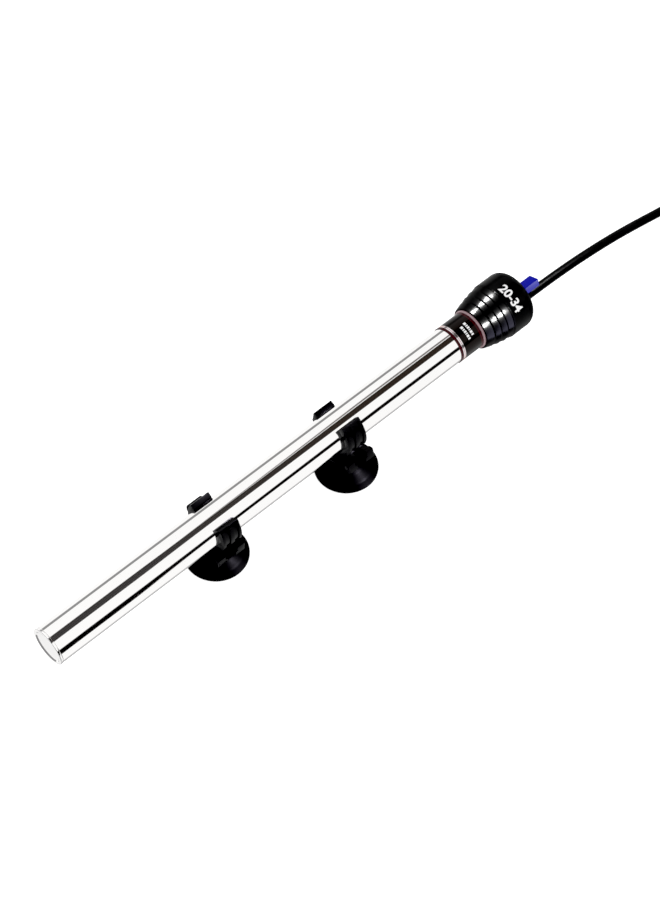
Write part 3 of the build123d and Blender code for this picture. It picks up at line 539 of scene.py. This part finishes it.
COARSE = 0.05 * MM
MATERIALS = {
    "sheath_steel": chrome("polished_sheath"),
    "label_print": printed_label("label_foil"),
    "gasket_rubber": moulded("gasket_rubber", (0.30, 0.19, 0.21), 0.24, 0.8, worn=(0.42, 0.30, 0.32)),
    "head_rubber": head_rubber("head_rubber"),
    "plug_rubber": moulded("plug_rubber", (0.12, 0.12, 0.125), 0.6),
    "knob_plastic": knob_plastic("knob_plastic"),
    "cord_jacket": cord_jacket("cord_jacket"),
    "clip_plastic": moulded("clip_plastic", (0.0010, 0.0008, 0.0014), 0.24, 0.055, grain=1800.0),
    "cup_rubber": moulded("cup_rubber", (0.0006, 0.0005, 0.0009), 0.28, 0.03, grain=1500.0),
    "plug_plastic": moulded("plug_plastic", (0.004, 0.004, 0.0045), 0.4, 0.15, grain=1100.0, depth=COARSE),
    "pin_metal": bare_metal("plated_brass_pins", (0.80, 0.79, 0.76), 0.16, (0.05, 1, 1)),
    "brass": bare_metal("brass", (0.80, 0.62, 0.30), 0.26, (0.1, 1, 1)),
    "steel": bare_metal("bright_steel", (0.68, 0.68, 0.67), 0.24, (0.08, 1, 1)),
    "silver_contact": bare_metal("silver_contact", (0.92, 0.90, 0.86), 0.2),
    "bimetal": bimetal_sheet("bimetal_sheet"),
    "ceramic": ceramic("steatite"),
    "frame_plastic": moulded("frame_resin", (0.42, 0.27, 0.15), 0.5, 0.4, grain=900.0, depth=COARSE),
    "coil_wire": bare_metal("resistance_wire", (0.40, 0.36, 0.33), 0.36),
    "glass_fibre": glass_cloth("glass_sleeve"),
    "core_brown": moulded("core_brown", (0.16, 0.055, 0.02), 0.4),
    "core_blue": moulded("core_blue", (0.02, 0.10, 0.42), 0.4),
    "capacitor_case": moulded("capacitor_case", (0.55, 0.42, 0.08), 0.35, 0.5, grain=700.0),
    "tie_plastic": moulded("tie_plastic", (0.010, 0.010, 0.011), 0.4, 0.35, grain=1300.0),
}
WHITE_PRINT = moulded("white_print", (0.86, 0.86, 0.86), 0.45, 0.3, grain=1800.0, worn=(0.93, 0.93, 0.93))


def paint(piece, material):
    """Gives a piece one material."""
    piece.data.materials.clear()
    piece.data.materials.append(material)
    for face in piece.data.polygons:
        face.material_index = 0


def stand_for(piece, node):
    """The piece takes the place of a CAD node: same body, same material slot."""
    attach(piece, frame["nodes"][node]["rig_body"])
    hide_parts(node)
    paint(piece, MATERIALS[node_slot[node]])


# ---------------------------------------------------------------- sheath, label and gasket
def build_sheath():
    """Polished tube with a softly turned-in lower edge, and the closing cap with its rolled lip."""
    inside = TUBE_RADIUS - TUBE_WALL
    low, high = TUBE_LOW.x, TUBE_HIGH.x
    edge = 0.25 * MM
    tube = rounded([
        (low, inside),
        (low, TUBE_RADIUS, edge),
        ((low + high) / 2, TUBE_RADIUS),
        (high, TUBE_RADIUS, edge),
        (high, inside),
    ])
    stand_for(lathe("polished_sheath", tube, segments=256, closed=True), "sheath_tube")

    lip = TUBE_RADIUS + 0.12 * MM
    dish = 0.5 * MM
    skirt = inside - FIT
    skirt_wall = 0.8 * MM
    gap = 0.02 * MM
    outline = rounded([
        (END_LOW.x + dish, 0),
        (END_LOW.x + dish, TUBE_RADIUS - 2.4 * MM, 0.8 * MM),
        (END_LOW.x, TUBE_RADIUS - 1.6 * MM, 0.6 * MM),
        (END_LOW.x, lip, 0.45 * MM),
        (low - gap, lip, 0.4 * MM),
        (low - gap, skirt, 0.1 * MM),
        (END_HIGH.x, skirt, 0.2 * MM),
        (END_HIGH.x, skirt - skirt_wall),
        (low + gap, skirt - skirt_wall, 0.3 * MM),
        (low + gap, 0),
    ])
    stand_for(lathe("end_cap_rolled_lip", outline, segments=256), "sheath_end_cap")


def build_label():
    """Printed sleeve with soft ends, and the gasket ring between it and the head."""
    bore = TUBE_RADIUS + FIT
    soft = 0.12 * MM
    sleeve = rounded([
        (LABEL_LOW.x, bore),
        (LABEL_LOW.x, LABEL_RADIUS, soft),
        (LABEL_HIGH.x, LABEL_RADIUS, soft),
        (LABEL_HIGH.x, bore),
    ])
    stand_for(lathe("printed_sleeve", sleeve, segments=256, closed=True), "label_sleeve")
    ring = rounded([
        (GASKET_LOW.x, bore),
        (GASKET_LOW.x, GASKET_RADIUS, 0.55 * MM),
        (GASKET_HIGH.x, GASKET_RADIUS, 0.2 * MM),
        (GASKET_HIGH.x, bore),
    ])
    stand_for(lathe("gasket_ring", ring, segments=256, closed=True), "cap_gasket")


def build_label_print():
    """Two rows of small plain white marks on the sleeve."""
    marks = []
    lengths = (1.5 * MM, 0.7 * MM, 1.1 * MM, 0.6 * MM, 1.4 * MM, 0.9 * MM)
    mark_height = 1.6 * MM
    mark_gap = 0.45 * MM
    for row, row_start in ((1.7 * MM, -4.2 * MM), (-1.3 * MM, -3.3 * MM)):
        along = row_start
        for length in lengths:
            marks.append((along + length / 2, row, length, mark_height))
            along += length + mark_gap
    mesh = flat_bars(marks)
    middle = (LABEL_LOW.x + LABEL_HIGH.x) / 2 + 1.2 * MM
    piece = wrapped("sleeve_marks", mesh, LABEL_RADIUS, middle, FACING_ANGLE - 4, 0.02 * MM)
    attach(piece, "heater")
    paint(piece, WHITE_PRINT)


# ---------------------------------------------------------------- head
def head_outline():
    """The cap's outline, from the cavity round the rim and over the ribs to the end face."""
    bore = TUBE_RADIUS + FIT
    points = [
        (CAVITY_END, 0),
        (CAVITY_END, CAVITY_RADIUS),
        (TUBE_HIGH.x, CAVITY_RADIUS),
        (TUBE_HIGH.x, bore),
        (CAP_LOW.x, bore, 0.3 * MM),
    ]
    start = CAP_LOW.x
    for index, (low, high) in enumerate(RIB_RADII):
        end = CAP_LOW.x + RIM_LENGTH + index * RIB_PITCH
        if index == 0:
            points.append((start, low, 0.35 * MM))
        else:
            points.append((start, low - RIB_GROOVE_DEPTH, 0.2 * MM))
            points.append((start + RIB_GROOVE_WIDTH, low + 0.2 * MM, 0.3 * MM))
        points.append((end, high, 0.30 * MM))
        start = end
    points.append((start, BAND_RADIUS - RIB_GROOVE_DEPTH, 0.2 * MM))
    points.append((start + RIB_GROOVE_DEPTH, BAND_RADIUS, 0.4 * MM))
    shoulder_start = CAP_HIGH.x - SHOULDER_LENGTH
    outline = rounded(points + [(shoulder_start, BAND_RADIUS)])
    drop = BAND_RADIUS - FACE_RADIUS
    arc_radius = (SHOULDER_LENGTH ** 2 + drop ** 2) / (2 * drop)
    arc_angle = math.asin(SHOULDER_LENGTH / arc_radius)
    steps = 28
    for step in range(1, steps):
        turn = arc_angle * step / steps
        along = shoulder_start + arc_radius * math.sin(turn)
        outline.append(Vector((along, BAND_RADIUS - arc_radius * (1 - math.cos(turn)))))
    outline += rounded([
        tuple(outline[-1]),
        (CAP_HIGH.x, FACE_RADIUS, 0.5 * MM),
        (CAP_HIGH.x, 0),
    ])[1:]
    return outline


def build_head():
    """Ribbed cap with the knob's recess and the holes for the dial shaft and the cord."""
    head = lathe("ribbed_head", head_outline(), segments=256)
    past = 1 * MM
    recess_floor = CAP_HIGH.x - RECESS_DEPTH
    bevel = 0.3 * MM
    recess = rounded([
        (recess_floor, 0),
        (recess_floor, RECESS_RADIUS, 0.3 * MM),
        (CAP_HIGH.x - bevel, RECESS_RADIUS),
        (CAP_HIGH.x + past, RECESS_RADIUS + past + bevel),
        (CAP_HIGH.x + past, 0),
    ])
    shaft_hole = [
        (CAVITY_END - past, 0),
        (CAVITY_END - past, SHAFT_HOLE_RADIUS),
        (CAP_HIGH.x, SHAFT_HOLE_RADIUS),
        (CAP_HIGH.x, 0),
    ]
    cord_hole = [
        (CAVITY_END - past, 0),
        (CAVITY_END - past, CORD_RADIUS + FIT),
        (CAP_HIGH.x - bevel, CORD_RADIUS + FIT),
        (CAP_HIGH.x + past, CORD_RADIUS + past + bevel),
        (CAP_HIGH.x + past, 0),
    ]
    tools = [
        lathe("recess", recess, KNOB_CENTRE, segments=96),
        lathe("shaft_hole", shaft_hole, KNOB_CENTRE, segments=64),
        lathe("cord_hole", cord_hole, CORD_CENTRE, segments=96),
    ]
    cut_away(head, tools)
    stand_for(head, "head_cap")


def build_scale():
    """Temperature range printed in bold on the head's smooth band."""
    band_start = CAP_LOW.x + RIM_LENGTH + (len(RIB_RADII) - 1) * RIB_PITCH
    band_end = CAP_HIGH.x - SHOULDER_LENGTH
    middle = (band_start + band_end) / 2
    numbers = flat_text("20-34", 7.6 * MM, 0.028)
    print_height = 0.03 * MM
    shift = -0.6 * MM
    piece = wrapped("scale_numbers", numbers, BAND_RADIUS, middle + shift, FACING_ANGLE, print_height)
    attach(piece, "heater")
    paint(piece, WHITE_PRINT)


# ---------------------------------------------------------------- clips and cups
def build_cup(name, node):
    """Suction cup with a thin sealing lip, fine rings on its underside and a button head."""
    low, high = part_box(node)
    radius = (high.x - low.x) / 2
    centre = Vector(((low.x + high.x) / 2, (low.y + high.y) / 2, low.z))
    top = high.z - low.z
    hollow_depth = 4.6 * MM
    ripple_height = 0.10 * MM
    ripple_start = 0.35
    ripples = 9
    outline = [Vector((hollow_depth, 0))]
    rings = 60
    for step in range(1, rings):
        share = step / rings
        out = share * (radius - 1.6 * MM)
        ripple = ripple_height
        if share > ripple_start:
            ripple *= math.cos(share * 2 * math.pi * ripples)
        hollow = hollow_depth * (1 - share ** 2) ** 0.85
        outline.append(Vector((max(hollow + ripple * (1 - share), 0.12 * MM), out)))
    outline += rounded([
        (0.0, radius - 1.4 * MM),
        (0.0, radius, 0.5 * MM),
        (1.15 * MM, radius, 0.5 * MM),
        (2.35 * MM, 14.4 * MM, 9 * MM),
        (5.0 * MM, 9.8 * MM, 8 * MM),
        (7.0 * MM, 5.2 * MM, 5 * MM),
        (9.2 * MM, 2.5 * MM, 2 * MM),
        (15.3 * MM, 2.5 * MM, 0.2 * MM),
        (15.85 * MM, 4.0 * MM, 0.25 * MM),
        (16.15 * MM, 4.0 * MM, 0.25 * MM),
        (16.9 * MM, 2.6 * MM, 1.0 * MM),
        (top, 0),
    ], steps=12)
    cup = lathe(name, outline, centre, Z, segments=192, angle=50)
    stand_for(cup, node)


def build_clips():
    """Clips with softened edges, and the cups they hold."""
    stand_for(softened("lower_clip_soft", "lower_clip", 0.3 * MM), "lower_clip")
    stand_for(softened("upper_clip_soft", "upper_clip", 0.3 * MM), "upper_clip")
    build_cup("lower_cup_turned", "lower_suction_cup")
    build_cup("upper_cup_turned", "upper_suction_cup")


# ---------------------------------------------------------------- knob, plug and ties
def build_small_parts():
    """Knob, plug and cord ties, each with its own edge rounding."""
    for name, node, edge in (
        ("knob_soft", "temperature_knob", 0.18 * MM),
        ("plug_soft", "plug_body", 0.3 * MM),
        ("ties_soft", "cord_ties", 0.25 * MM),
    ):
        stand_for(softened(name, node, edge), node)


# ---------------------------------------------------------------- studio
def build_world():
    """White studio. Mirrors also see two dark flags above the sheath, which run along it."""
    world = bpy.data.worlds.new("studio")
    bpy.context.scene.world = world
    world.use_nodes = True
    g = Graph(world.node_tree)
    toward = g.add("ShaderNodeTexCoord").outputs["Generated"]
    x, y, z = g.parts(toward)
    turn = g.math("MULTIPLY", g.math("ARCTAN2", z, y), 180 / math.pi)
    turn = g.math("FLOORED_MODULO", turn, 360.0)
    # the mirrored direction leans more towards +X the nearer the point is to the head
    lean = g.ramp(x, 0.25, 0.44)
    # both flags widen near the lower end of the sheath
    low_end = g.math("POWER", g.math("SUBTRACT", 1.0, lean), 6.0)

    def flag_edge(at_low_end, at_head, widening=0.0):
        """Angle of a flag's edge, in degrees about the sheath, along the sheath's length."""
        evenly = g.ramp(lean, 0.0, 1.0, at_low_end, at_head)
        return g.math("ADD", evenly, g.math("MULTIPLY", low_end, widening))

    first = g.band(turn, flag_edge(87.0, 80.0, -4.0), flag_edge(112.0, 112.0, 4.0), 1.2)
    # a slightly paler strip splits off from the first flag towards the head
    inner = g.band(turn, flag_edge(88.0, 66.0), flag_edge(88.0, 76.0), 1.5)
    second = g.band(turn, flag_edge(169.0, 159.0), flag_edge(184.0, 179.0, 14.0), 1.5)
    # faint flags outline the sheath's two edges; its end cap hardly sees them
    ahead = g.ramp(x, -0.05, 0.15, 0.20, 1.0)
    upper_edge = g.math("MULTIPLY", g.band(turn, 6.0, 25.0, 2.0), ahead)
    lower_edge = g.math("MULTIPLY", g.band(turn, 254.0, 300.0, 5.0), ahead)
    # fine uneven streaks along the flags
    streaks = g.add("ShaderNodeTexNoise", noise_dimensions="1D")
    g.feed(turn, streaks.inputs["W"])
    streaks.inputs["Scale"].default_value = 0.55
    streaks.inputs["Detail"].default_value = 3.0
    fleck = g.ramp(streaks.outputs["Fac"], 0.42, 0.62)
    lit = g.mix(lean, (0.10, 0.095, 0.095), (0.060, 0.045, 0.036))
    dark = g.mix(fleck, (0.006, 0.004, 0.003), lit)
    # seen from other sides, the sheath mirrors a grey table below it
    from_camera = g.math("MAXIMUM", g.band(x, 0.17, 0.52, 0.02), g.band(x, -0.45, -0.12, 0.02))
    table = g.math("MULTIPLY", g.band(turn, 195.0, 345.0, 12.0), g.math("SUBTRACT", 1.0, from_camera))
    white = (1.0, 1.0, 1.0)
    seen = g.mix(g.math("MULTIPLY", table, 0.85), white, (0.09, 0.09, 0.10))
    seen = g.mix(g.math("MULTIPLY", upper_edge, 0.9), seen, (0.20, 0.20, 0.20))
    seen = g.mix(g.math("MULTIPLY", lower_edge, 0.7), seen, (0.25, 0.25, 0.25))
    seen = g.mix(g.math("MULTIPLY", inner, 0.85), seen, (0.055, 0.042, 0.035))
    seen = g.mix(first, seen, dark)
    seen = g.mix(second, seen, (0.004, 0.003, 0.003))
    path = g.add("ShaderNodeLightPath")
    colour = g.mix(path.outputs["Is Glossy Ray"], white, seen)
    background = g.add("ShaderNodeBackground")
    g.feed(colour, background.inputs["Color"])
    background.inputs["Strength"].default_value = 1.0
    output = g.add("ShaderNodeOutputWorld")
    g.feed(background.outputs[0], output.inputs["Surface"])


def build_floor():
    """Plain white floor that glows a little, so that shadows stay faint."""
    half_size = 6.0
    below = 0.2 * MM
    mesh = bpy.data.meshes.new("floor")
    shape = bmesh.new()
    bmesh.ops.create_grid(shape, x_segments=1, y_segments=1, size=half_size)
    shape.to_mesh(mesh)
    shape.free()
    floor = link("floor", mesh)
    floor.location.z = -below
    m = Finish("floor_paper")
    grain = m.spread(m.noise(9.0), 0.0, 1.0)
    m.set(
        Base_Color=m.mix(grain, (0.90, 0.90, 0.90), (0.92, 0.92, 0.92)),
        Roughness=0.95,
        Specular_IOR_Level=0.0,
        Emission_Color=(1.0, 1.0, 1.0),
        Emission_Strength=0.62,
    )
    paint(floor, m.material)
    floor.visible_glossy = False


def lamp_for(name, toward, target, distance, width, length, power, pieces, colour=(1.0, 1.0, 1.0)):
    """Soft box in the given direction from the target, which lights only the listed pieces."""
    lamp = bpy.data.lights.new(name, "AREA")
    lamp.shape = "RECTANGLE"
    lamp.size = width
    lamp.size_y = length
    lamp.energy = power
    lamp.color = colour
    holder = link(name, lamp)
    away = Vector(toward).normalized()
    holder.location = Vector(target) + away * distance
    holder.rotation_mode = "QUATERNION"
    holder.rotation_quaternion = away.to_track_quat("Z", "Y")
    holder.visible_camera = False
    holder.visible_diffuse = False
    receivers = bpy.data.collections.new(name + "_receivers")
    for piece in pieces:
        receivers.objects.link(bpy.data.objects[piece])
    holder.light_linking.receiver_collection = receivers


def build_lights():
    """Strips for the streaks on the head's ribs, and soft boxes for the cups, clips, cord and knob."""
    head_centre = (CAP_LOW.x + 14.7 * MM, 0, AXIS_HEIGHT)
    strip = {"distance": 1.3, "width": 0.10, "length": 0.24, "power": 240.0, "pieces": ["ribbed_head"]}
    lamp_for("back_strip", (-0.115, 0.449, 0.886), head_centre, **strip)
    lamp_for("front_strip", (-0.167, -0.785, 0.5945), head_centre, **strip)
    lamp_for(
        "low_wash",
        toward=(0.05, -0.98, -0.10),
        target=head_centre,
        distance=1.3,
        width=0.4,
        length=1.4,
        power=26.0,
        pieces=["ribbed_head"],
        colour=(0.72, 0.70, 1.0),
    )
    lamp_for(
        "cup_box",
        toward=(0.42, -0.42, 0.80),
        target=(0.04, 0, 0.01),
        distance=1.2,
        width=0.25,
        length=0.25,
        power=14.0,
        pieces=["lower_cup_turned", "upper_cup_turned", "lower_clip_soft", "upper_clip_soft"],
        colour=(0.86, 0.80, 1.0),
    )
    lamp_for(
        "cord_box",
        toward=(0.39, -0.05, 0.92),
        target=(0.245, 0, 0.025),
        distance=1.2,
        width=0.06,
        length=0.35,
        power=30.0,
        pieces=[frame["nodes"]["power_cord"].name],
    )
    lamp_for(
        "knob_box",
        toward=(0.386, -0.922, 0.035),
        target=(KNOB_HIGH.x, KNOB_CENTRE.y, KNOB_CENTRE.z),
        distance=1.0,
        width=0.4,
        length=0.10,
        power=60.0,
        pieces=["knob_soft"],
    )


def build_camera():
    """Long lens, looking down at the heater from the front and its lower end."""
    azimuth = math.radians(CAMERA_AZIMUTH)
    elevation = math.radians(CAMERA_ELEVATION)
    back = Vector((
        math.sin(azimuth) * math.cos(elevation),
        -math.cos(azimuth) * math.cos(elevation),
        math.sin(elevation),
    ))
    data = bpy.data.cameras.new("camera")
    data.lens = CAMERA_LENS
    data.clip_start = 0.01
    data.clip_end = 50.0
    camera = link("camera", data)
    camera.location = CAMERA_AIM + back * CAMERA_DISTANCE
    camera.rotation_mode = "QUATERNION"
    camera.rotation_quaternion = back.to_track_quat("Z", "Y")
    bpy.context.scene.camera = camera


def build_view():
    """Plain colours with a slightly deeper black."""
    view = bpy.context.scene.view_settings
    view.view_transform = "Standard"
    view.use_curve_mapping = True
    view.curve_mapping.black_level = (BLACK_LEVEL, BLACK_LEVEL, BLACK_LEVEL)
    view.curve_mapping.update()


for node, holder in frame["nodes"].items():
    paint(holder, MATERIALS[node_slot[node]])

build_sheath()
build_label()
build_label_print()
build_head()
build_scale()
build_clips()
build_small_parts()
build_world()
build_floor()
build_lights()
build_camera()
build_view()
